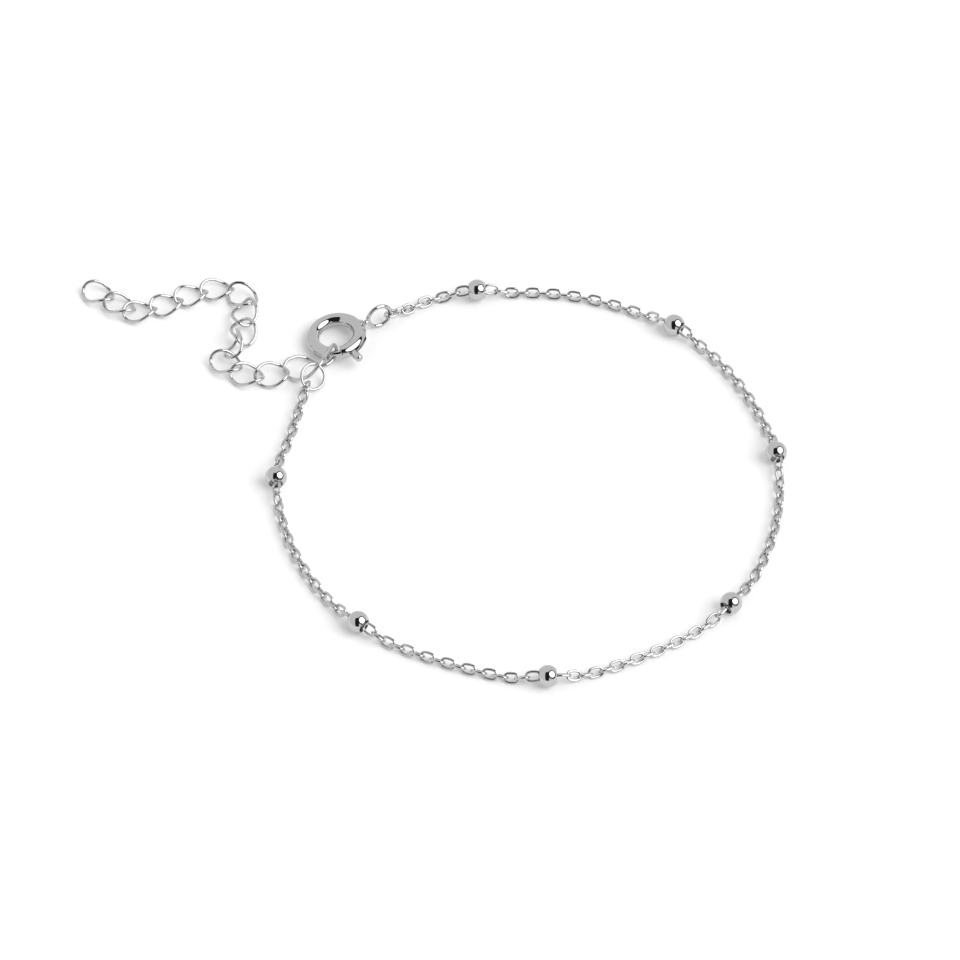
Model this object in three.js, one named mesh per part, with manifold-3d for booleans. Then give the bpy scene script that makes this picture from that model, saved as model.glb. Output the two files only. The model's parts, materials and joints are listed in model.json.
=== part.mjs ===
// Beaded station bracelet in polished silver: a fine cable chain joined by seven drilled balls,
// fastened by a spring ring on the first link of a curb extender.  Millimetres, +Z up.
import * as THREE from 'three';
import { mergeVertices } from 'three/addons/utils/BufferGeometryUtils.js';
import Module from 'manifold-3d';

const wasm = await Module();
wasm.setup();

// ---- driving dimensions -------------------------------------------------------------------

const BEAD_DIAMETER = 2.2;
const BEAD_BORE = 1.3;
const BEAD_SIDES = 10;
const BEAD_BANDS = 4;

// The stretch next to the clasp lies slack, at the shorter pitch.
const CABLE = { length: 1.68, width: 1.2, wire: 0.285, pitch: 1.06, slackPitch: 0.97 };
const CABLE_END_IN_BEAD = 0.6;
const CABLE_HEIGHT = 0.48;
const CABLE_RISE = 2.6;

const CURB = { length: 3.7, width: 2.85, wire: 0.34 };
const CURB_TWIST = 38;

const LINK_STEPS = 10;
const LINK_SIDES = 5;
const RING_STEPS = 12;
const RING_SIDES = 5;

const CLASP = { radius: 2.37, tube: 0.68, bore: 0.42, steps: 14, sides: 8, boreSides: 6 };
const CLASP_CENTRE = { x: -18.83, y: 18.55, z: 1.0 };
// How steeply the clasp's plane rises to the right and towards the back: it leans on its eye.
const CLASP_RISE = { right: 0.13, back: -0.05 };
const GAP = { from: 253, to: 283 };
const BOLT = { radius: 0.26, from: 246, to: 318, sides: 6 };
const KNOB = { angle: 306, radius: 0.4, reach: 4.35, clear: 0.06, stem: 0.15 };
const SLOT = { from: 300, to: 350, width: 0.44 };

const EYE = { angle: 28, distance: 4.9, radius: 1.23, wire: 0.22 };
const NECK = { from: 2.8, to: 3.7, wide: 0.5, narrow: 0.24 };

const JUMP_RING = {
  centre: { x: -21.06, y: 13.14, z: 1.09 },
  radius: 1.27,
  wire: 0.16,
  facing: { x: 0.454, y: -0.573, z: 0.683 },
};

const LARGE_WIRE = 0.36;
const LARGE_STEPS = 16;

// Ball centres, in order from the clasp's eye round to the jump ring.
const BEADS = [
  { x: -4.74, y: 24.67 },
  { x: 15.00, y: 19.98 },
  { x: 24.77, y: 3.33 },
  { x: 19.89, y: -15.84 },
  { x: 2.10, y: -24.87 },
  { x: -16.23, y: -18.20 },
  { x: -24.50, y: 0.11 },
];

// Where the chain lies half-way along each stretch, first from the eye to ball 1.
const CHAIN_MIDDLES = [
  { x: -9.40, y: 23.85 },
  { x: 5.36, y: 24.27 },
  { x: 20.99, y: 13.22 },
  { x: 24.25, y: -6.57 },
  { x: 11.56, y: -21.84 },
  { x: -7.44, y: -22.88 },
  { x: -22.16, y: -9.95 },
  { x: -23.07, y: 6.48 },
];

// Roll of the first link of each stretch, and of the last link of the last stretch.
const CHAIN_ROLLS = [45, 45, 45, 45, 45, 135, 45, 135];

// Centres of the end links, which hang in the clasp's eye and in the jump ring.
const FIRST_CABLE_LINK = { x: -13.30, y: 21.49, z: 1.08 };
const LAST_CABLE_LINK = { x: -21.75, y: 12.05, z: 0.72 };

// How much further the first link turns, so that it lies across the eye's wire.
const EYE_TWIST = -55;

// The large link's centreline: it lies flat at the extender and stands on edge at the clasp.
const LARGE_LINK = [
  { x: -23.97, y: 15.01, z: 0.50 },
  { x: -23.70, y: 15.56, z: 0.74 },
  { x: -23.15, y: 15.90, z: 0.80 },
  { x: -22.46, y: 16.21, z: 0.62 },
  { x: -21.76, y: 16.22, z: 0.36 },
  { x: -21.11, y: 15.83, z: 0.24 },
  { x: -20.46, y: 15.45, z: 0.22 },
  { x: -19.76, y: 15.48, z: 0.22 },
  { x: -19.15, y: 16.05, z: 0.32 },
  { x: -18.80, y: 16.80, z: 0.60 },
  { x: -18.85, y: 17.05, z: 1.20 },
  { x: -19.10, y: 16.75, z: 1.75 },
  { x: -19.75, y: 15.15, z: 2.08 },
  { x: -20.45, y: 13.80, z: 2.06 },
  { x: -21.40, y: 13.28, z: 1.12 },
  { x: -22.06, y: 13.32, z: 0.60 },
  { x: -22.72, y: 13.43, z: 0.32 },
  { x: -23.47, y: 13.78, z: 0.24 },
  { x: -23.88, y: 14.36, z: 0.30 },
];

// Extender links from the free end: centre, the way that each one points, and its lean.
const EXTENDER = [
  { x: -42.86, y: 24.69, z: 0.59, heading: -28, roll: 0 },
  { x: -40.67, y: 23.09, z: 0.67, heading: -27, roll: -5 },
  { x: -38.61, y: 22.26, z: 0.64, heading: 12, roll: -4 },
  { x: -35.96, y: 23.19, z: 0.61, heading: 21, roll: 0 },
  { x: -33.52, y: 24.42, z: 0.62, heading: 17, roll: -2 },
  { x: -30.90, y: 25.16, z: 0.63, heading: 2, roll: -1 },
  { x: -28.39, y: 24.24, z: 0.73, heading: -38, roll: 11 },
  { x: -28.05, y: 21.99, z: 0.74, heading: -97, roll: 13 },
  { x: -28.14, y: 19.40, z: 0.73, heading: -93, roll: -12 },
  { x: -28.95, y: 17.20, z: 1.28, heading: -99, roll: 56 },
  { x: -29.79, y: 15.23, z: 0.80, heading: -27, roll: 6 },
  { x: -27.67, y: 13.76, z: 0.67, heading: -13, roll: 6 },
  { x: -25.21, y: 13.66, z: 0.85, heading: 13, roll: 22 },
];

// ---- small helpers ------------------------------------------------------------------------

const radians = THREE.MathUtils.degToRad;
const UP = new THREE.Vector3(0, 0, 1);

function vector({ x, y, z = 0 }) {
  return new THREE.Vector3(x, y, z);
}

function weld(geometry) {
  geometry.deleteAttribute('normal');
  geometry.deleteAttribute('uv');
  return mergeVertices(geometry, 1e-4);
}

function toSolid(geometry) {
  const welded = weld(geometry);
  return new wasm.Manifold(new wasm.Mesh({
    numProp: 3,
    vertProperties: new Float32Array(welded.attributes.position.array),
    triVerts: new Uint32Array(welded.index.array),
  }));
}

function toGeometry(solid) {
  const mesh = solid.getMesh();
  const geometry = new THREE.BufferGeometry();
  geometry.setAttribute('position', new THREE.BufferAttribute(mesh.vertProperties, 3));
  geometry.setIndex(new THREE.BufferAttribute(mesh.triVerts, 1));
  return geometry;
}

// Circumradius of the polygon that has a round wire's cross-section.
function polygonRadius(diameter, sides) {
  return (diameter / 2) * Math.sqrt((2 * Math.PI) / (sides * Math.sin((2 * Math.PI) / sides)));
}

// A closed loop of wire has no ends, so its tube closes on itself.
function wireLoop(curve, wire, steps, sides) {
  return weld(new THREE.TubeGeometry(curve, steps, polygonRadius(wire, sides), sides, true));
}

// A turned ring whose section is a polygon, with its axis along Z.
function turnedRing(radius, tube, steps, sides) {
  const section = [];
  for (let i = 0; i <= sides; i += 1) {
    const angle = ((i % sides) + 0.5) * 2 * Math.PI / sides;
    section.push(new THREE.Vector2(radius + tube * Math.cos(angle), tube * Math.sin(angle)));
  }
  return new THREE.LatheGeometry(section, steps).rotateX(Math.PI / 2);
}

// ---- links --------------------------------------------------------------------------------

// Oval twisted about its long axis, as a curb link is, so that the chain lies flat.
class CurbCurve extends THREE.Curve {
  constructor(length, width, twist) {
    super();
    this.length = length;
    this.width = width;
    this.twist = twist;
  }

  getPoint(t, target = new THREE.Vector3()) {
    const angle = 2 * Math.PI * t;
    const side = (this.width / 2) * Math.sin(angle);
    const turn = this.twist * Math.cos(angle);
    return target.set(
      (this.length / 2) * Math.cos(angle),
      side * Math.cos(turn),
      side * Math.sin(turn),
    );
  }
}

// Turns X along the given direction, with Y level, then rolls about it.
function linkMatrix(centre, along, roll) {
  const x = along.clone().normalize();
  const y = UP.clone().cross(x).normalize();
  const z = x.clone().cross(y);
  return new THREE.Matrix4().makeBasis(x, y, z)
    .multiply(new THREE.Matrix4().makeRotationX(roll))
    .setPosition(centre);
}

// ---- the chain's route --------------------------------------------------------------------

function chainRoute() {
  const points = [vector({ ...FIRST_CABLE_LINK, z: 0 })];
  CHAIN_MIDDLES.forEach((middle, i) => {
    points.push(vector(middle));
    const bead = BEADS[i];
    points.push(bead ? vector(bead) : vector({ ...LAST_CABLE_LINK, z: 0 }));
  });
  const curve = new THREE.CatmullRomCurve3(points);
  const perSpan = 100;
  curve.arcLengthDivisions = perSpan * (points.length - 1);
  const lengths = curve.getLengths();
  const arcAt = (index) => lengths[index * perSpan];
  return { curve, total: curve.getLength(), beads: BEADS.map((bead, i) => arcAt(2 * i + 2)) };
}

const route = chainRoute();

// The chain lies on the surface, and rises to the hole of each ball and to its two end links.
function routeHeight(arc) {
  const raised = (distance, level, height) => (
    (height - CABLE_HEIGHT) * (1 - THREE.MathUtils.smoothstep(distance, level, level + CABLE_RISE))
  );
  let height = CABLE_HEIGHT;
  for (const bead of route.beads) {
    height += raised(Math.abs(arc - bead), 1.0, BEAD_DIAMETER / 2);
  }
  height += raised(arc, 0, FIRST_CABLE_LINK.z);
  height += raised(route.total - arc, 0, LAST_CABLE_LINK.z);
  return height;
}

function routePoint(arc) {
  const point = route.curve.getPointAt(THREE.MathUtils.clamp(arc / route.total, 0, 1));
  point.z = routeHeight(arc);
  return point;
}

// ---- pieces -------------------------------------------------------------------------------

// Corners of one fine link lying along X: LINK_SIDES round the wire at each of LINK_STEPS places
// round the link.  A flat of the wire faces inwards, and a straight stretch crosses each tip.
function cableLinkCorners() {
  const bend = (CABLE.width - CABLE.wire) / 2;
  const wire = polygonRadius(CABLE.wire, LINK_SIDES);
  const corners = [];
  for (let step = 0; step < LINK_STEPS; step += 1) {
    const angle = (step + 0.5) * 2 * Math.PI / LINK_STEPS;
    const shift = (CABLE.length - CABLE.width) / 2 * Math.round(Math.cos(angle) * 2) / 2;
    for (let side = 0; side < LINK_SIDES; side += 1) {
      const around = side * 2 * Math.PI / LINK_SIDES;
      const reach = bend + wire * Math.cos(around);
      corners.push(new THREE.Vector3(
        reach * Math.cos(angle) + shift, reach * Math.sin(angle), wire * Math.sin(around),
      ));
    }
  }
  return corners;
}

// The four corners of the inward flat at a link's tip.
function tipFlat(first, step) {
  const next = (step + 1) % LINK_STEPS;
  const side = (LINK_SIDES - 1) / 2;
  return [[step, side], [next, side], [next, side + 1], [step, side + 1]]
    .map(([place, around]) => first + place * LINK_SIDES + around);
}

const NEAR_TIP = LINK_STEPS / 2 - 1;
const FAR_TIP = LINK_STEPS - 1;

// Fine links in a row, each joined to the next where their tips press on each other.
function fuseLinks(matrices) {
  const corners = cableLinkCorners();
  const points = matrices.flatMap((matrix) => corners.map((p) => p.clone().applyMatrix4(matrix)));
  const index = [];
  const addQuad = (a, b, c, d) => index.push(a, b, c, a, c, d);
  matrices.forEach((matrix, link) => {
    const first = link * corners.length;
    for (let step = 0; step < LINK_STEPS; step += 1) {
      for (let side = 0; side < LINK_SIDES; side += 1) {
        const inward = side === (LINK_SIDES - 1) / 2;
        const joinsLast = link > 0 && step === NEAR_TIP;
        const joinsNext = link + 1 < matrices.length && step === FAR_TIP;
        if (!(inward && (joinsLast || joinsNext))) {
          const next = first + ((step + 1) % LINK_STEPS) * LINK_SIDES;
          const here = first + step * LINK_SIDES;
          const over = (side + 1) % LINK_SIDES;
          addQuad(here + side, next + side, next + over, here + over);
        }
      }
    }
    if (link > 0) {
      const last = tipFlat(first - corners.length, FAR_TIP);
      const mine = tipFlat(first, NEAR_TIP).reverse();
      const spread = (turn) => last.reduce(
        (sum, p, i) => sum + points[p].distanceTo(points[mine[(i + turn) % 4]]), 0,
      );
      const best = [0, 1, 2, 3].sort((a, b) => spread(a) - spread(b))[0];
      for (let i = 0; i < 4; i += 1) {
        const j = (i + 1) % 4;
        addQuad(last[i], last[j], mine[(j + best) % 4], mine[(i + best) % 4]);
      }
    }
  });
  const geometry = new THREE.BufferGeometry().setFromPoints(points);
  geometry.setIndex(index);
  return geometry;
}

// Links from one arc length of the route to another, each a quarter turn on from the last.  The
// roll is the first link's, or the last one's if the turns are counted back from there.
function chainStretch({ from, to, pitch, roll, countBack }) {
  const count = Math.round((to - from) / pitch) + 1;
  const half = CABLE.length / 2;
  const matrices = [];
  for (let i = 0; i < count; i += 1) {
    const arc = from + (to - from) * i / (count - 1);
    const along = routePoint(arc + half).sub(routePoint(arc - half));
    const turns = countBack ? count - 1 - i : i;
    const twist = EYE_TWIST * (1 - THREE.MathUtils.smoothstep(arc, 0, CABLE_RISE));
    matrices.push(linkMatrix(routePoint(arc), along, radians(roll + twist + 90 * turns)));
  }
  return fuseLinks(matrices);
}

function beadGeometry() {
  const radius = BEAD_DIAMETER / 2;
  const bore = (BEAD_BORE / 2) / Math.cos(Math.PI / BEAD_SIDES);
  const edge = Math.asin(bore / radius);
  const profile = [];
  for (let i = 0; i <= BEAD_BANDS; i += 1) {
    const angle = Math.PI - edge - (i / BEAD_BANDS) * (Math.PI - 2 * edge);
    profile.push(new THREE.Vector2(radius * Math.sin(angle), radius * Math.cos(angle)));
  }
  profile.push(profile[0].clone());
  return weld(new THREE.LatheGeometry(profile, BEAD_SIDES).rotateZ(-Math.PI / 2));
}

function extenderLink({ x, y, z, heading, roll }) {
  const curve = new CurbCurve(CURB.length - CURB.wire, CURB.width - CURB.wire, radians(-CURB_TWIST));
  const along = new THREE.Vector3(1, 0, 0).applyAxisAngle(UP, radians(heading));
  return wireLoop(curve, CURB.wire, LINK_STEPS, LINK_SIDES)
    .applyMatrix4(linkMatrix(new THREE.Vector3(x, y, z), along, radians(roll)));
}

function largeLink() {
  const curve = new THREE.CatmullRomCurve3(LARGE_LINK.map(vector), true);
  return wireLoop(curve, LARGE_WIRE, LARGE_STEPS, RING_SIDES);
}

function jumpRing() {
  const turn = new THREE.Quaternion().setFromUnitVectors(
    new THREE.Vector3(0, 0, 1), vector(JUMP_RING.facing).normalize(),
  );
  const { x, y, z } = JUMP_RING.centre;
  const ring = turnedRing(JUMP_RING.radius, JUMP_RING.wire, RING_STEPS, RING_SIDES);
  return weld(ring.applyQuaternion(turn).translate(x, y, z));
}

// A wedge about Z between two angles, used to cut the clasp's tube.
function wedge({ from, to }, inner, outer, height) {
  const shape = new THREE.Shape();
  shape.absarc(0, 0, outer, radians(from), radians(to), false);
  shape.absarc(0, 0, inner, radians(to), radians(from), true);
  shape.closePath();
  const options = { depth: height, bevelEnabled: false, curveSegments: 4 };
  return new THREE.ExtrudeGeometry(shape, options).translate(0, 0, -height / 2);
}

// Moves a geometry built along X to the given angle about Z.
function atAngle(geometry, angle) {
  return geometry.rotateZ(radians(angle));
}

function claspBody() {
  const tube = toSolid(turnedRing(CLASP.radius, CLASP.tube, CLASP.steps, CLASP.sides));
  const bore = toSolid(turnedRing(CLASP.radius, CLASP.bore, CLASP.steps, CLASP.boreSides));
  const gap = toSolid(wedge(GAP, 1, 4, 3));
  const slot = toSolid(wedge(SLOT, CLASP.radius, 4, SLOT.width));
  const neckLength = NECK.to - NECK.from;
  const neck = toSolid(atAngle(
    new THREE.CylinderGeometry(NECK.narrow, NECK.wide, neckLength, 8)
      .rotateZ(-Math.PI / 2).translate(NECK.from + neckLength / 2, 0, 0),
    EYE.angle,
  ));
  const eye = toSolid(atAngle(
    turnedRing(EYE.radius, EYE.wire, RING_STEPS, RING_SIDES)
      .rotateX(Math.PI / 2).translate(EYE.distance, 0, 0),
    EYE.angle,
  ));
  return toGeometry(tube.add(neck).subtract(bore).subtract(gap).subtract(slot).add(eye));
}

function claspBolt() {
  const arc = { from: BOLT.from, to: BOLT.to };
  const bolt = toSolid(turnedRing(CLASP.radius, BOLT.radius, CLASP.steps, BOLT.sides))
    .intersect(toSolid(wedge(arc, 1, 4, 3)));
  const base = CLASP.radius + CLASP.tube + KNOB.clear;
  const stemLength = base + KNOB.radius / 2 - CLASP.radius;
  const stem = toSolid(atAngle(
    new THREE.CylinderGeometry(KNOB.stem, KNOB.stem, stemLength, 6)
      .rotateZ(-Math.PI / 2).translate(CLASP.radius + stemLength / 2, 0, 0),
    KNOB.angle,
  ));
  const side = KNOB.reach - base - KNOB.radius / 2;
  const knobProfile = [
    new THREE.Vector2(0, 0),
    new THREE.Vector2(KNOB.radius, 0),
    new THREE.Vector2(KNOB.radius, side),
    new THREE.Vector2(KNOB.radius * 0.75, side + KNOB.radius * 0.38),
    new THREE.Vector2(0, side + KNOB.radius / 2),
  ];
  const knob = toSolid(atAngle(
    new THREE.LatheGeometry(knobProfile, 10).rotateZ(-Math.PI / 2).translate(base, 0, 0),
    KNOB.angle,
  ));
  return toGeometry(bolt.add(stem).add(knob));
}

// ---- materials and assembly ---------------------------------------------------------------

const silver = () => new THREE.MeshStandardMaterial({ color: 0xd8d9db, roughness: 0.08, metalness: 1 });

const bracelet = new THREE.Group();

function addPiece(parent, name, geometry) {
  geometry.computeVertexNormals();
  const mesh = new THREE.Mesh(geometry, silver());
  mesh.name = name;
  parent.add(mesh);
  return mesh;
}

function addBeads(parent) {
  const geometry = beadGeometry();
  route.beads.forEach((arc, i) => {
    const mesh = addPiece(parent, `bead_${i + 1}`, geometry.clone());
    const along = route.curve.getTangentAt(arc / route.total);
    mesh.position.copy(vector({ ...BEADS[i], z: BEAD_DIAMETER / 2 }));
    mesh.rotation.z = Math.atan2(along.y, along.x);
  });
}

function addChain(parent) {
  const inset = CABLE_END_IN_BEAD + CABLE.length / 2;
  const stretches = CHAIN_MIDDLES.map((middle, i) => ({
    from: route.beads[i - 1] + inset,
    to: route.beads[i] - inset,
    pitch: CABLE.pitch,
    roll: CHAIN_ROLLS[i],
  }));
  Object.assign(stretches[0], { from: 0, pitch: CABLE.slackPitch });
  Object.assign(stretches.at(-1), { to: route.total, countBack: true });
  stretches.forEach((stretch, i) => {
    addPiece(parent, `chain_${i + 1}`, chainStretch(stretch));
  });
}

function addExtender(parent) {
  EXTENDER.forEach((place, i) => {
    addPiece(parent, `extender_link_${String(i + 1).padStart(2, '0')}`, extenderLink(place));
  });
}

function addClasp(parent) {
  const clasp = new THREE.Group();
  clasp.position.copy(vector(CLASP_CENTRE));
  const { right, back } = CLASP_RISE;
  const normal = new THREE.Vector3(-right, -back, 1).normalize();
  clasp.quaternion.setFromUnitVectors(UP, normal);
  addPiece(clasp, 'spring_ring_body', claspBody());
  addPiece(clasp, 'spring_ring_bolt', claspBolt());
  parent.add(clasp);
}

addClasp(bracelet);
addChain(bracelet);
addBeads(bracelet);
addPiece(bracelet, 'jump_ring', jumpRing());
addPiece(bracelet, 'large_link', largeLink());
addExtender(bracelet);

// The origin is the middle of the bounding box, on the surface that the bracelet lies on.
const box = new THREE.Box3().setFromObject(bracelet, true);
const middle = box.getCenter(new THREE.Vector3());
bracelet.position.set(-middle.x, -middle.y, -box.min.z);

export default bracelet;
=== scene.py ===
"""A beaded chain bracelet in bright plated silver, fastened and lying on a pale table."""

import json
import math

import bmesh
import bpy
import numpy as np
from mathutils import Matrix, Vector


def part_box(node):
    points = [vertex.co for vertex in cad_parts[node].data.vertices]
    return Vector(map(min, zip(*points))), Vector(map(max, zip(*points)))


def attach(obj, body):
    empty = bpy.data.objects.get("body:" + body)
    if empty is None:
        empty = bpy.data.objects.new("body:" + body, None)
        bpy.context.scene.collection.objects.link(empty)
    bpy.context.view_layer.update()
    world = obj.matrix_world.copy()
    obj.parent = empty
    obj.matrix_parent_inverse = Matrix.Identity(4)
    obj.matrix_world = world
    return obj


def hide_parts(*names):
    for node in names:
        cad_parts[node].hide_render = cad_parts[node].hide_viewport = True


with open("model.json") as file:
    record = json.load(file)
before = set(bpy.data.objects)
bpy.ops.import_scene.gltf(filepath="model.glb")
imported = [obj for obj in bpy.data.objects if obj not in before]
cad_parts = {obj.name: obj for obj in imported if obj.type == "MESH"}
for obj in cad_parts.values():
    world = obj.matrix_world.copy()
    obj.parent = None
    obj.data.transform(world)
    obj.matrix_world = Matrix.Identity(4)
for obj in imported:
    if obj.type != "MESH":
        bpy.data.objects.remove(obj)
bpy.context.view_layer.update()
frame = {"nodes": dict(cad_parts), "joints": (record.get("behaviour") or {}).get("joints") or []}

MM = 0.001
MICRON = 1e-6
UP = Vector((0, 0, 1))
FULL_TURN = 2 * math.pi

# ---- the bracelet's sizes, in metres ---------------------------------------------------------

BALL_DIAMETER = 2.2 * MM
BALL_HOLE = 1.3 * MM
BALL_HOLE_EDGE = 0.07 * MM

CABLE_LENGTH = 1.68 * MM
CABLE_WIDTH = 1.2 * MM
CABLE_WIRE = 0.285 * MM
CABLE_PITCH = 1.06 * MM
SLACK_PITCH = 0.97 * MM
CABLE_END_IN_BALL = 0.6 * MM
CABLE_HEIGHT = 0.48 * MM
CABLE_RISE = 2.6 * MM
CABLE_LEVEL_AT_BALL = 1.0 * MM

CURB_LENGTH = 3.7 * MM
CURB_WIDTH = 2.85 * MM
CURB_WIRE = 0.34 * MM
CURB_TWIST = math.radians(-38)

LARGE_WIRE = 0.36 * MM
JUMP_RING_RADIUS = 1.27 * MM
JUMP_RING_WIRE = 0.32 * MM

CLASP_RADIUS = 2.37 * MM
CLASP_TUBE = 0.68 * MM
CLASP_BORE = 0.42 * MM
CLASP_GAP = (math.radians(253), math.radians(283))
CLASP_SLOT = (math.radians(300), math.radians(350))
CLASP_SLOT_SPREAD = math.radians(18)
CLASP_RIM = 0.05 * MM

BOLT_WIRE = 0.52 * MM
BOLT_ARC = (math.radians(246), math.radians(318))
KNOB_ANGLE = math.radians(306)
KNOB_RADIUS = 0.4 * MM
KNOB_FOOT = 3.11 * MM
KNOB_TIP = 4.35 * MM
KNOB_STEM = 0.15 * MM
KNOB_DOME = 0.28 * MM
KNOB_EDGE = 0.05 * MM

EYE_ANGLE = math.radians(28)
EYE_DISTANCE = 4.9 * MM
EYE_RADIUS = 1.23 * MM
EYE_WIRE = 0.44 * MM
# From the clasp's middle towards the eye, in millimetres: how far out, and the radius there.
# The tube is drawn out to a shoulder, and a bead of solder joins it to the eye's wire.
SHOULDER_AND_SOLDER = [
    (2.50, 0.68),
    (2.80, 0.62),
    (2.95, 0.55),
    (3.10, 0.44),
    (3.20, 0.32),
    (3.24, 0.25),
    (3.32, 0.27),
    (3.42, 0.28),
    (3.54, 0.26),
    (3.70, 0.20),
]

# The middle of a softened edge lies this share of its width in from the sharp corner.
EDGE_MIDDLE = 0.3

TABLE_RADIUS = 4.0

# Ball 1 in the loop's own plan, with the loop's middle as its origin.
BALL_1_IN_PLAN = Vector((-4.74, 24.67, 0)) * MM

# Where the chain lies half-way along each stretch, first from the eye to ball 1.
CHAIN_MIDDLES = [
    (-9.40, 23.85),
    (5.36, 24.27),
    (20.99, 13.22),
    (24.25, -6.57),
    (11.56, -21.84),
    (-7.44, -22.88),
    (-22.16, -9.95),
    (-23.07, 6.48),
]

# Degrees of roll of each stretch's first link, and of the last stretch's last link.
CHAIN_ROLLS = [45, 45, 45, 45, 45, 135, 45, 135]

# The chain's end links: one hangs in the clasp's eye, the other in the jump ring.
FIRST_LINK = (-13.30, 21.49, 1.08)
LAST_LINK = (-21.75, 12.05, 0.72)
# How much further the first link turns, so that it lies across the eye's wire.
EYE_TWIST = math.radians(-55)

JUMP_RING_PLACE = (-21.06, 13.14, 1.09)
JUMP_RING_FACING = Vector((0.454, -0.573, 0.683))

# The large link's centreline: it lies flat at the extender and stands on edge at the clasp.
LARGE_LINK = [
    (-23.97, 15.01, 0.50),
    (-23.70, 15.56, 0.74),
    (-23.15, 15.90, 0.80),
    (-22.46, 16.21, 0.62),
    (-21.76, 16.22, 0.36),
    (-21.11, 15.83, 0.24),
    (-20.46, 15.45, 0.22),
    (-19.76, 15.48, 0.22),
    (-19.15, 16.05, 0.32),
    (-18.80, 16.80, 0.60),
    (-18.85, 17.05, 1.20),
    (-19.10, 16.75, 1.75),
    (-19.75, 15.15, 2.08),
    (-20.45, 13.80, 2.06),
    (-21.40, 13.28, 1.12),
    (-22.06, 13.32, 0.60),
    (-22.72, 13.43, 0.32),
    (-23.47, 13.78, 0.24),
    (-23.88, 14.36, 0.30),
]

BALLS = [f"bead_{i}" for i in range(1, 8)]
EXTENDER = [f"extender_link_{i:02d}" for i in range(1, 14)]

# ---- colour and shader helpers ---------------------------------------------------------------


def linear(hex_colour):
    """An sRGB hex colour as linear red, green, blue and alpha."""
    channels = [int(hex_colour[i : i + 2], 16) / 255 for i in (1, 3, 5)]
    lit = [c / 12.92 if c <= 0.04045 else ((c + 0.055) / 1.055) ** 2.4 for c in channels]
    return (*lit, 1.0)


def add_node(tree, kind, settings=None, inputs=None):
    """A node with its settings, and with inputs that are values or other nodes' outputs."""
    node = tree.nodes.new(kind)
    for name, value in (settings or {}).items():
        setattr(node, name, value)
    for name, value in (inputs or {}).items():
        if isinstance(value, bpy.types.NodeSocket):
            tree.links.new(value, node.inputs[name])
        else:
            node.inputs[name].default_value = value
    return node


def new_material(name):
    material = bpy.data.materials.new(name)
    material.use_nodes = True
    material.node_tree.nodes.clear()
    return material, material.node_tree


# ---- finishes --------------------------------------------------------------------------------


def plated_silver(name, colour, smooth, dull, dimple, depth):
    """Silver with a rhodium flash: an even, slightly grey mirror.

    Polishing leaves it between smooth and dull, in patches and dimples of the size given.
    """
    patches_from, patches_to = 0.35, 0.65
    material, tree = new_material(name)
    place = add_node(tree, "ShaderNodeTexCoord")
    wear = add_node(
        tree,
        "ShaderNodeTexNoise",
        inputs={"Vector": place.outputs["Object"], "Scale": 0.5 / dimple, "Detail": 3.0},
    )
    dimples = add_node(
        tree,
        "ShaderNodeTexNoise",
        inputs={"Vector": place.outputs["Object"], "Scale": 1 / dimple, "Detail": 1.0},
    )
    polish = add_node(
        tree,
        "ShaderNodeMapRange",
        inputs={
            "Value": wear.outputs["Fac"],
            "From Min": patches_from,
            "From Max": patches_to,
            "To Min": smooth,
            "To Max": dull,
        },
    )
    relief = add_node(
        tree,
        "ShaderNodeBump",
        inputs={"Height": dimples.outputs["Fac"], "Strength": 1.0, "Distance": depth},
    )
    shader = add_node(
        tree,
        "ShaderNodeBsdfPrincipled",
        inputs={
            "Base Color": linear(colour),
            "Metallic": 1.0,
            "Roughness": polish.outputs["Result"],
            "Normal": relief.outputs["Normal"],
        },
    )
    add_node(tree, "ShaderNodeOutputMaterial", inputs={"Surface": shader.outputs["BSDF"]})
    return material


# Balls are turned, polished and plated: a clean mirror.
turned_ball_silver = plated_silver(
    "turned_ball_silver",
    "#C4C4C5",
    smooth=0.03,
    dull=0.06,
    dimple=0.5 * MM,
    depth=0.2 * MICRON,
)
# Links are drawn wire tumbled with steel shot, which leaves faint dimples.
tumbled_wire_silver = plated_silver(
    "tumbled_wire_silver",
    "#C4C4C5",
    smooth=0.03,
    dull=0.07,
    dimple=0.2 * MM,
    depth=1.0 * MICRON,
)
# The clasp is rolled from sheet, then polished with a mop.
mopped_clasp_silver = plated_silver(
    "mopped_clasp_silver",
    "#C2C2C3",
    smooth=0.02,
    dull=0.05,
    dimple=0.6 * MM,
    depth=0.5 * MICRON,
)


def table_white():
    """Matt white acrylic: no grain at this size, so only the soft shadows show.

    The sheet has a faint painted glow of its own, which lifts the shadows and keeps them light.
    """
    material, tree = new_material("matt_white_acrylic_painted_glow")
    shader = add_node(
        tree,
        "ShaderNodeBsdfPrincipled",
        inputs={
            "Base Color": linear("#F2F2F2"),
            "Roughness": 0.9,
            "Specular IOR Level": 0.1,
            # A painted glow: the sheet shines a little by itself, which lightens the shadows on
            # it.
            "Emission Color": linear("#FFFFFF"),
            "Emission Strength": 0.14,
        },
    )
    add_node(tree, "ShaderNodeOutputMaterial", inputs={"Surface": shader.outputs["BSDF"]})
    return material


# ---- mesh helpers ----------------------------------------------------------------------------


def finish_piece(name, bm, material, body, *nodes, sharp=40):
    """Makes the bmesh a piece that rides on a body and stands for its CAD nodes."""
    bmesh.ops.recalc_face_normals(bm, faces=bm.faces)
    mesh = bpy.data.meshes.new(name)
    bm.to_mesh(mesh)
    bm.free()
    mesh.shade_smooth()
    mesh.set_sharp_from_angle(angle=math.radians(sharp))
    mesh.materials.append(material)
    piece = bpy.data.objects.new(name, mesh)
    bpy.context.scene.collection.objects.link(piece)
    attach(piece, body)
    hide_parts(*nodes)
    return piece


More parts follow.
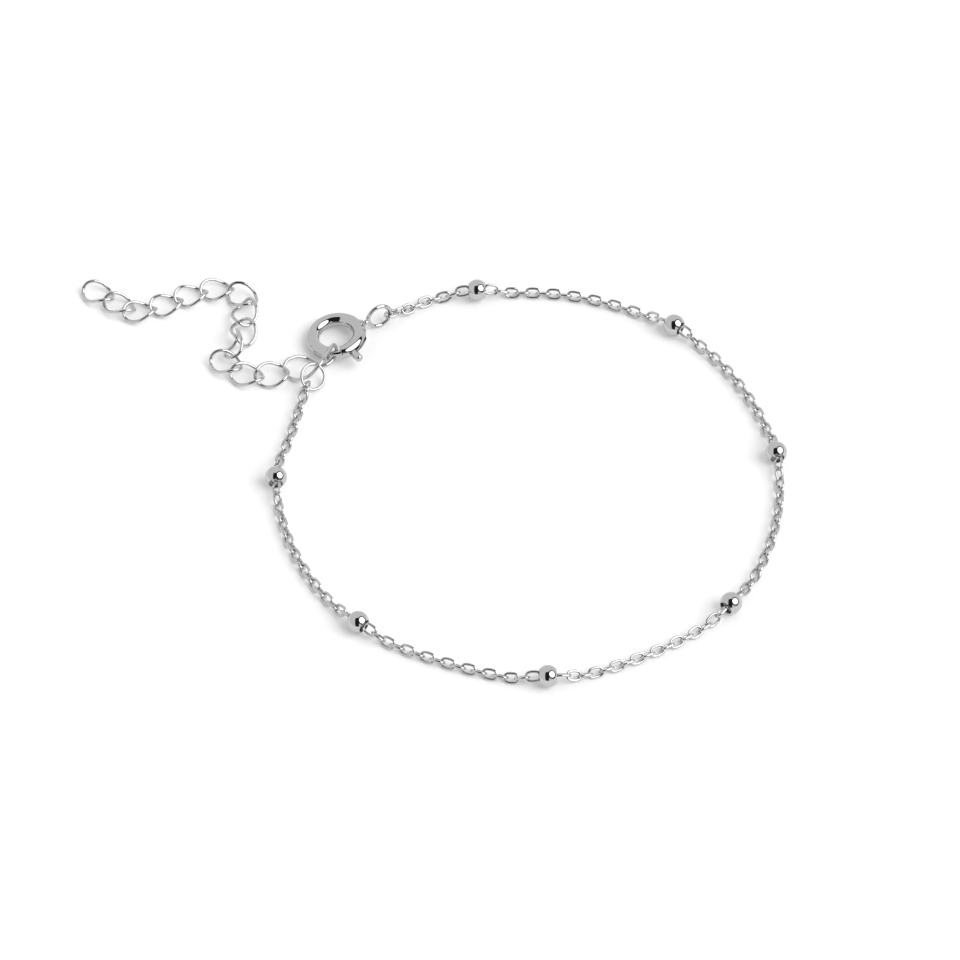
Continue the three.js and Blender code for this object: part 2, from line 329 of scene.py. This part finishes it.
def spun_ring(bm, radius, wire, steps, sides, start=0.0, angle=FULL_TURN):
    """Round wire of the given diameter, spun about Z. Returns the new vertices."""
    lay = Matrix.Rotation(start, 4, "Z") @ Matrix.Translation((radius, 0, 0))
    upright = Matrix.Rotation(math.pi / 2, 4, "X") @ Matrix.Rotation(math.pi / sides, 4, "Z")
    before = set(bm.verts)
    bmesh.ops.create_circle(bm, segments=sides, radius=wire / 2, matrix=lay @ upright)
    section = [v for v in bm.verts if v not in before]
    edges = [e for e in bm.edges if e.verts[0] in section]
    bmesh.ops.spin(
        bm,
        geom=section + edges,
        cent=(0, 0, 0),
        axis=UP,
        angle=angle,
        steps=steps,
        use_merge=math.isclose(angle, FULL_TURN),
    )
    return [v for v in bm.verts if v not in before]


def turned(bm, profile, matrix, steps):
    """Spins a profile of (reach along X, radius) points about X, then places it."""
    same_place = 1e-8
    before = set(bm.verts)
    line = [bm.verts.new((along, 0, radius)) for along, radius in profile]
    edges = [bm.edges.new(pair) for pair in zip(line, line[1:])]
    bmesh.ops.spin(
        bm,
        geom=line + edges,
        cent=(0, 0, 0),
        axis=(1, 0, 0),
        angle=FULL_TURN,
        steps=steps,
        use_merge=True,
    )
    made = [v for v in bm.verts if v not in before]
    bmesh.ops.remove_doubles(bm, verts=made, dist=same_place)
    made = [v for v in bm.verts if v not in before]
    bmesh.ops.transform(bm, matrix=matrix, verts=made)


def wire_loop(bm, centreline, wire, steps, sides):
    """Bends a spun ring of wire so that it follows a closed centreline, given for 0 to 1.

    The middle of a face comes at 0, and one row of faces looks inwards.
    """
    middle = sum((centreline(i / steps) for i in range(steps)), Vector()) / steps
    nudge = 1e-4
    hoop = 2.0
    for v in spun_ring(bm, hoop, 2.0, steps, sides, start=math.pi / steps):
        t = (math.atan2(v.co.y, v.co.x) / FULL_TURN) % 1.0
        around = Vector((math.hypot(v.co.x, v.co.y) - hoop, v.co.z)) * wire / 2
        point = centreline(t)
        along = (centreline((t + nudge) % 1.0) - centreline((t - nudge) % 1.0)).normalized()
        outward = point - middle
        outward = (outward - outward.dot(along) * along).normalized()
        v.co = point + around.x * outward + around.y * along.cross(outward)


def on_spline(before, here, there, after, part):
    """The point at a part of the way from here to there, on a centripetal spline."""
    spans = ((before, here), (here, there), (there, after))
    gaps = [math.sqrt((end - start).length) for start, end in spans]
    leave = (here - before) / gaps[0] - (there - before) / (gaps[0] + gaps[1])
    leave = (leave + (there - here) / gaps[1]) * gaps[1]
    arrive = (there - here) / gaps[1] - (after - here) / (gaps[1] + gaps[2])
    arrive = (arrive + (after - there) / gaps[2]) * gaps[1]
    cubic = 2 * here - 2 * there + leave + arrive
    square = 3 * (there - here) - 2 * leave - arrive
    return here + leave * part + square * part**2 + cubic * part**3


def along_x(centre, direction, roll):
    """Turns X along a direction, with Y level, then rolls about it."""
    x = direction.normalized()
    y = UP.cross(x).normalized()
    turn = Matrix((x, y, x.cross(y))).transposed().to_4x4()
    return Matrix.Translation(centre) @ turn @ Matrix.Rotation(roll, 4, "X")


# ---- the loop's plan -------------------------------------------------------------------------


def ball_centre(node):
    low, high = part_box(node)
    return (low + high) / 2


plan_origin = ball_centre(BALLS[0]) - BALL_1_IN_PLAN
plan_origin.z = ball_centre(BALLS[0]).z - BALL_DIAMETER / 2


def in_plan(x, y, z=0.0):
    """A point of the loop's plan, in millimetres, as a place in the frame."""
    return plan_origin + Vector((x, y, z)) * MM


def eased(distance, start):
    """1 up to a distance along the chain, then down to 0 over the chain's rise."""
    t = min(max((distance - start) / CABLE_RISE, 0.0), 1.0)
    return 1 - t * t * (3 - 2 * t)


class Route:
    """The chain's way over the table, as one smooth line through the balls and the middles."""

    SAMPLES = 100

    def __init__(self):
        self.points = [in_plan(*FIRST_LINK[:2])]
        for i, middle in enumerate(CHAIN_MIDDLES):
            self.points.append(in_plan(*middle))
            if i < len(BALLS):
                centre = ball_centre(BALLS[i])
                self.points.append(Vector((centre.x, centre.y, plan_origin.z)))
        self.points.append(in_plan(*LAST_LINK[:2]))
        spans = len(self.points) - 1
        flat = [self.flat_point(i / self.SAMPLES) for i in range(spans * self.SAMPLES + 1)]
        self.arcs = [0.0]
        for here, there in zip(flat, flat[1:]):
            self.arcs.append(self.arcs[-1] + (there - here).length)
        self.total = self.arcs[-1]
        self.ball_arcs = [self.arcs[(2 * i + 2) * self.SAMPLES] for i in range(len(BALLS))]

    def flat_point(self, place):
        """The point at a span and fraction, on a smooth line through the points."""
        points = self.points
        span = min(int(place), len(points) - 2)
        here, there = points[span], points[span + 1]
        before = points[span - 1] if span else 2 * here - there
        after = points[span + 2] if span + 2 < len(points) else 2 * there - here
        return on_spline(before, here, there, after, place - span)

    def height(self, arc):
        """The chain lies on the table, and rises to each ball's hole and to its end links."""
        first, last = FIRST_LINK[2] * MM, LAST_LINK[2] * MM
        height = CABLE_HEIGHT
        for ball in self.ball_arcs:
            rise = BALL_DIAMETER / 2 - CABLE_HEIGHT
            height += rise * eased(abs(arc - ball), CABLE_LEVEL_AT_BALL)
        height += (first - CABLE_HEIGHT) * eased(arc, 0.0)
        height += (last - CABLE_HEIGHT) * eased(self.total - arc, 0.0)
        return height

    def point(self, arc):
        held = min(max(arc, 0.0), self.total)
        i = int(np.searchsorted(self.arcs, held, side="right")) - 1
        i = min(i, len(self.arcs) - 2)
        part = (held - self.arcs[i]) / (self.arcs[i + 1] - self.arcs[i])
        point = self.flat_point((i + part) / self.SAMPLES)
        point.z = plan_origin.z + self.height(arc)
        return point

    def tangent(self, arc):
        nudge = 0.05 * MM
        return (self.point(arc + nudge) - self.point(arc - nudge)).normalized()


route = Route()

# ---- chain, balls and links ------------------------------------------------------------------


def cable_centreline(t):
    """A cable link's wire: two half rounds with a straight stretch between them."""
    bend = (CABLE_WIDTH - CABLE_WIRE) / 2
    straight = (CABLE_LENGTH - CABLE_WIDTH) / 2
    # The larger this is, the sooner a straight stretch passes into a bend.
    squareness = 2.2
    a = FULL_TURN * t
    spread = min(max(squareness * math.cos(a), -1.0), 1.0)
    return Vector((bend * math.cos(a) + straight * spread, bend * math.sin(a), 0))


def curb_centreline(t):
    """A curb link's wire: an oval twisted about its long axis, so that the chain lies flat."""
    a = FULL_TURN * t
    side = (CURB_WIDTH - CURB_WIRE) / 2 * math.sin(a)
    turn = CURB_TWIST * math.cos(a)
    reach = (CURB_LENGTH - CURB_WIRE) / 2 * math.cos(a)
    return Vector((reach, side * math.cos(turn), side * math.sin(turn)))


def cable_link_mesh():
    bm = bmesh.new()
    wire_loop(bm, cable_centreline, CABLE_WIRE, steps=32, sides=12)
    mesh = bpy.data.meshes.new("cable_link")
    bm.to_mesh(mesh)
    bm.free()
    return mesh


def tip_faces(link):
    """Which faces of a cable link look inwards at its near tip and at its far tip."""
    inside = CABLE_LENGTH / 2 - CABLE_WIRE

    def at(tip):
        return min(link.polygons, key=lambda face: (face.center - tip).length).index

    return at(Vector((-inside, 0, 0))), at(Vector((inside, 0, 0)))


def chain_stretch(name, link, start, end, pitch, roll, count_back):
    """Cable links from one arc length to another, each a quarter turn on from the last.

    Neighbours are joined where their tips press on each other.
    """
    gaps = round((end - start) / pitch)
    half = CABLE_LENGTH / 2
    bm = bmesh.new()
    for i in range(gaps + 1):
        arc = start + (end - start) * i / gaps
        along = route.point(arc + half) - route.point(arc - half)
        turns = gaps - i if count_back else i
        turn = roll + EYE_TWIST * eased(arc, 0.0) + turns * math.pi / 2
        before = len(bm.verts)
        bm.from_mesh(link)
        bm.verts.ensure_lookup_table()
        place = along_x(route.point(arc), along, turn)
        bmesh.ops.transform(bm, matrix=place, verts=bm.verts[before:])
    near_tip, far_tip = tip_faces(link)
    count = len(link.polygons)
    bm.faces.ensure_lookup_table()
    far_faces = [bm.faces[i * count + far_tip] for i in range(gaps)]
    near_faces = [bm.faces[i * count + near_tip] for i in range(1, gaps + 1)]
    for pair in zip(far_faces, near_faces):
        edges = [edge for face in pair for edge in face.edges]
        bmesh.ops.delete(bm, geom=pair, context="FACES_ONLY")
        bmesh.ops.bridge_loops(bm, edges=edges)
    finish_piece(f"cable_{name}", bm, tumbled_wire_silver, "bracelet", name, sharp=60)


def make_chain():
    link = cable_link_mesh()
    inset = CABLE_END_IN_BALL + CABLE_LENGTH / 2
    last = len(CHAIN_MIDDLES) - 1
    for i in range(last + 1):
        chain_stretch(
            f"chain_{i + 1}",
            link,
            start=route.ball_arcs[i - 1] + inset if i else 0.0,
            end=route.ball_arcs[i] - inset if i < last else route.total,
            pitch=CABLE_PITCH if i else SLACK_PITCH,
            roll=math.radians(CHAIN_ROLLS[i]),
            count_back=i == last,
        )
    bpy.data.meshes.remove(link)


def ball_profile():
    """Half of a drilled ball's section, from one edge of the hole round to the other."""
    radius = BALL_DIAMETER / 2
    hole = BALL_HOLE / 2
    edge = math.asin((hole + BALL_HOLE_EDGE) / radius)
    bands = 22
    outside = [
        (-radius * math.cos(a), radius * math.sin(a))
        for a in (edge + (math.pi - 2 * edge) * i / bands for i in range(bands + 1))
    ]
    mouth = outside[-1][0]
    softened = ((EDGE_MIDDLE, EDGE_MIDDLE), (1, 0))
    lip = [(mouth - BALL_HOLE_EDGE * f, hole + BALL_HOLE_EDGE * g) for f, g in softened]
    inside = [*lip, *[(-x, r) for x, r in reversed(lip)]]
    return [*outside, *inside, outside[0]]


def make_balls():
    for node, arc in zip(BALLS, route.ball_arcs):
        along = route.tangent(arc)
        along.z = 0
        bm = bmesh.new()
        turned(bm, ball_profile(), along_x(ball_centre(node), along, 0.0), steps=40)
        finish_piece(f"drilled_ball_{node[-1]}", bm, turned_ball_silver, "bracelet", node)


def link_place(node):
    """A CAD link's own axes: its length along X, its width along Y."""
    places = np.array([v.co for v in frame["nodes"][node].data.vertices])
    middle = places.mean(0)
    spread, axes = np.linalg.eigh(np.cov((places - middle).T))
    x, y = Vector(axes[:, 2]), Vector(axes[:, 1])
    turn = Matrix((x, y, x.cross(y))).transposed().to_4x4()
    return Matrix.Translation(Vector(middle)) @ turn


def make_extender():
    for node in EXTENDER:
        bm = bmesh.new()
        wire_loop(bm, curb_centreline, CURB_WIRE, steps=64, sides=16)
        bmesh.ops.transform(bm, matrix=link_place(node), verts=bm.verts)
        finish_piece(f"curb_link_{node[-2:]}", bm, tumbled_wire_silver, "bracelet", node)


def closed_spline(points):
    """A smooth closed line through the points, as a function of 0 to 1."""
    count = len(points)

    def at(t):
        span, part = divmod(t * count, 1.0)
        i = int(span) % count
        return on_spline(*(points[(i + k) % count] for k in (-1, 0, 1, 2)), part)

    return at


def make_large_link():
    bm = bmesh.new()
    centreline = closed_spline([in_plan(*place) for place in LARGE_LINK])
    wire_loop(bm, centreline, LARGE_WIRE, steps=160, sides=16)
    finish_piece("large_curb_link", bm, tumbled_wire_silver, "bracelet", "large_link")


def make_jump_ring():
    bm = bmesh.new()
    ring = spun_ring(bm, JUMP_RING_RADIUS, JUMP_RING_WIRE, steps=64, sides=16)
    face = JUMP_RING_FACING.to_track_quat("Z", "Y").to_matrix().to_4x4()
    place = Matrix.Translation(in_plan(*JUMP_RING_PLACE)) @ face
    bmesh.ops.transform(bm, matrix=place, verts=ring)
    finish_piece("round_jump_ring", bm, tumbled_wire_silver, "bracelet", "jump_ring")


# ---- the spring ring -------------------------------------------------------------------------

bolt_joint = frame["joints"][0]
clasp_turn = UP.rotation_difference(Vector(bolt_joint["axis"])).to_matrix().to_4x4()
clasp_place = Matrix.Translation(bolt_joint["pos_m"]) @ clasp_turn


def open_edges(bm, wanted):
    """The open edges whose middle meets the condition."""
    return [
        e for e in bm.edges if e.is_boundary and wanted((e.verts[0].co + e.verts[1].co) / 2)
    ]


def angle_of(point):
    return math.atan2(point.y, point.x) % FULL_TURN


def clasp_tube(bm):
    """The clasp's hollow ring, open at the gap and slotted outside for the knob."""
    gap_start, gap_end = CLASP_GAP
    sweep = FULL_TURN - (gap_end - gap_start)
    angle_slack = 0.01
    sharp_rim = math.radians(60)
    for radius in (CLASP_TUBE, CLASP_BORE):
        spun_ring(
            bm, CLASP_RADIUS, 2 * radius, steps=132, sides=44, start=gap_end, angle=sweep
        )

    def in_slot(face):
        middle = face.calc_center_median()
        reach = math.hypot(middle.x, middle.y) - CLASP_RADIUS
        around = math.atan2(middle.z, reach)
        turned_to = angle_of(middle)
        return abs(around) < CLASP_SLOT_SPREAD and CLASP_SLOT[0] < turned_to < CLASP_SLOT[1]

    bmesh.ops.delete(bm, geom=[f for f in bm.faces if in_slot(f)], context="FACES")

    def near_end(angle):
        return lambda p: abs(angle_of(p) - angle) < angle_slack

    for end in (near_end(gap_start), near_end(gap_end)):
        bmesh.ops.bridge_loops(bm, edges=open_edges(bm, end))
    bmesh.ops.bridge_loops(bm, edges=open_edges(bm, lambda p: True))
    rims = [e for e in bm.edges if e.calc_face_angle(0) > sharp_rim]
    bmesh.ops.bevel(
        bm,
        geom=rims,
        offset=CLASP_RIM,
        offset_type="OFFSET",
        segments=3,
        profile=0.5,
        affect="EDGES",
        material=-1,
    )


def clasp_eye(bm):
    """The eye that holds the chain, on edge, and the solder between it and the tube."""
    out = Matrix.Rotation(EYE_ANGLE, 4, "Z")
    ring = spun_ring(bm, EYE_RADIUS, EYE_WIRE, steps=64, sides=20)
    on_edge = Matrix.Rotation(math.pi / 2, 4, "X")
    place = out @ Matrix.Translation((EYE_DISTANCE, 0, 0)) @ on_edge
    bmesh.ops.transform(bm, matrix=place, verts=ring)
    profile = [(along * MM, radius * MM) for along, radius in SHOULDER_AND_SOLDER]
    turned(bm, profile, out, steps=24)


def make_clasp():
    bm = bmesh.new()
    clasp_tube(bm)
    clasp_eye(bm)
    bmesh.ops.transform(bm, matrix=clasp_place, verts=bm.verts)
    finish_piece("spring_ring", bm, mopped_clasp_silver, "bracelet", "spring_ring_body")


def make_bolt():
    """The bolt that bars the gap, with its knob."""
    bm = bmesh.new()
    start, end = BOLT_ARC
    spun_ring(bm, CLASP_RADIUS, BOLT_WIRE, steps=36, sides=20, start=start, angle=end - start)
    bmesh.ops.holes_fill(bm, edges=[e for e in bm.edges if e.is_boundary], sides=0)
    out = Matrix.Rotation(KNOB_ANGLE, 4, "Z")
    stem = [
        (CLASP_RADIUS, 0.0),
        (CLASP_RADIUS, KNOB_STEM),
        (KNOB_FOOT, KNOB_STEM),
        (KNOB_FOOT, 0.0),
    ]
    turned(bm, stem, out, steps=16)
    side_end = KNOB_TIP - KNOB_DOME
    knob = [
        (KNOB_FOOT, 0.0),
        (KNOB_FOOT, KNOB_RADIUS - KNOB_EDGE),
        (KNOB_FOOT + EDGE_MIDDLE * KNOB_EDGE, KNOB_RADIUS - EDGE_MIDDLE * KNOB_EDGE),
        (KNOB_FOOT + KNOB_EDGE, KNOB_RADIUS),
    ]
    bands = 8
    for i in range(bands + 1):
        a = math.pi / 2 * i / bands
        knob.append((side_end + KNOB_DOME * math.sin(a), KNOB_RADIUS * math.cos(a)))
    turned(bm, knob, out, steps=32)
    bmesh.ops.transform(bm, matrix=clasp_place, verts=bm.verts)
    name = "spring_ring_bolt_and_knob"
    finish_piece(name, bm, mopped_clasp_silver, "bolt", "spring_ring_bolt")


# ---- table, light and camera -----------------------------------------------------------------


def make_table():
    bm = bmesh.new()
    bmesh.ops.create_circle(bm, cap_ends=True, segments=64, radius=TABLE_RADIUS)
    mesh = bpy.data.meshes.new("white_table")
    bm.to_mesh(mesh)
    bm.free()
    mesh.materials.append(table_white())
    table = bpy.data.objects.new("white_table", mesh)
    bpy.context.scene.collection.objects.link(table)


def light_tent():
    """A white light tent, with a round softbox in a dark frame and the dark camera side."""
    tent_light = 0.88
    softbox = Vector((0.66, -0.28, 0.69)).normalized()
    camera_side = Vector((0.00, -0.64, 0.77)).normalized()
    # The shade under the softbox, the dark camera side, the softbox's black lip and the softbox.
    # Each hides those before it. Its middle and its half sizes are slopes right and up of its
    # direction from the bracelet: 1 is 45 degrees.
    panels = [
        {
            "from": softbox,
            "middle": (0.02, -0.12),
            "half": (0.83, 0.63),
            "light": 0.26,
            "round": False,
        },
        {
            "from": camera_side,
            "middle": (-0.18, -0.10),
            "half": (0.40, 1.05),
            "light": 0.02,
            "round": False,
        },
        {
            "from": softbox,
            "middle": (0.02, 0.10),
            "half": (0.86, 0.86),
            "light": 0.02,
            "round": True,
        },
        {
            "from": softbox,
            "middle": (0.02, 0.10),
            "half": (0.54, 0.54),
            "light": 3.8,
            "round": True,
        },
    ]
    edge_blur = 0.05
    nearly_behind = 0.001
    world = bpy.data.worlds.new("light_tent")
    bpy.context.scene.world = world
    world.use_nodes = True
    tree = world.node_tree
    tree.nodes.clear()
    ways = add_node(tree, "ShaderNodeTexCoord").outputs["Generated"]

    def part_along(axis):
        """How far a way from the bracelet reaches along an axis."""
        settings = {"operation": "DOT_PRODUCT"}
        inputs = {0: ways, 1: axis}
        return add_node(tree, "ShaderNodeVectorMath", settings, inputs).outputs["Value"]

    def math_node(operation, first, second=0.0):
        settings = {"operation": operation}
        return add_node(tree, "ShaderNodeMath", settings, {0: first, 1: second}).outputs[0]

    def share_of(panel):
        """1 inside a panel's outline and 0 outside it."""
        facing = panel["from"]
        right = Vector((1, 0, 0))
        right = (right - right.dot(facing) * facing).normalized()
        axes = (right, facing.cross(right))
        depth = math_node("MAXIMUM", part_along(facing), nearly_behind)
        parts = []
        for axis, middle, half in zip(axes, panel["middle"], panel["half"]):
            slope = math_node("DIVIDE", part_along(axis), depth)
            offset = math_node("SUBTRACT", slope, middle)
            parts.append(math_node("ABSOLUTE", math_node("DIVIDE", offset, half)))
        if panel["round"]:
            squares = [math_node("MULTIPLY", part, part) for part in parts]
            reach = math_node("SQRT", math_node("ADD", *squares))
        else:
            reach = math_node("MAXIMUM", *parts)
        settings = {"interpolation_type": "SMOOTHSTEP"}
        inputs = {"Value": reach, "From Min": 1 + edge_blur, "From Max": 1 - edge_blur}
        return add_node(tree, "ShaderNodeMapRange", settings, inputs).outputs["Result"]

    light = tent_light
    for panel in panels:
        change = math_node("SUBTRACT", panel["light"], light)
        light = math_node("ADD", light, math_node("MULTIPLY", share_of(panel), change))
    lit = add_node(tree, "ShaderNodeBackground", inputs={"Strength": light})
    lit.inputs["Color"].default_value = linear("#FFFFFF")
    add_node(tree, "ShaderNodeOutputWorld", inputs={"Surface": lit.outputs["Background"]})


def make_camera():
    """A long lens from the front, half-way between level and overhead."""
    elevation = math.radians(50)
    distance = 0.700
    image_width = 960
    scale = 10.15 / MM
    aim = plan_origin + Vector((-4.433, 0.643, 0)) * MM
    lens = bpy.data.cameras.new("camera")
    lens.sensor_width = 36
    lens.lens = lens.sensor_width * scale * distance / image_width
    lens.clip_start = 0.01
    lens.clip_end = 20
    camera = bpy.data.objects.new("camera", lens)
    back = Vector((0, -math.cos(elevation), math.sin(elevation)))
    camera.location = aim + back * distance
    camera.rotation_euler = (math.pi / 2 - elevation, 0, 0)
    bpy.context.scene.collection.objects.link(camera)
    bpy.context.scene.camera = camera
    bpy.context.scene.view_settings.view_transform = "Standard"


make_camera()
make_table()
light_tent()
make_chain()
make_balls()
make_extender()
make_large_link()
make_jump_ring()
make_clasp()
make_bolt()
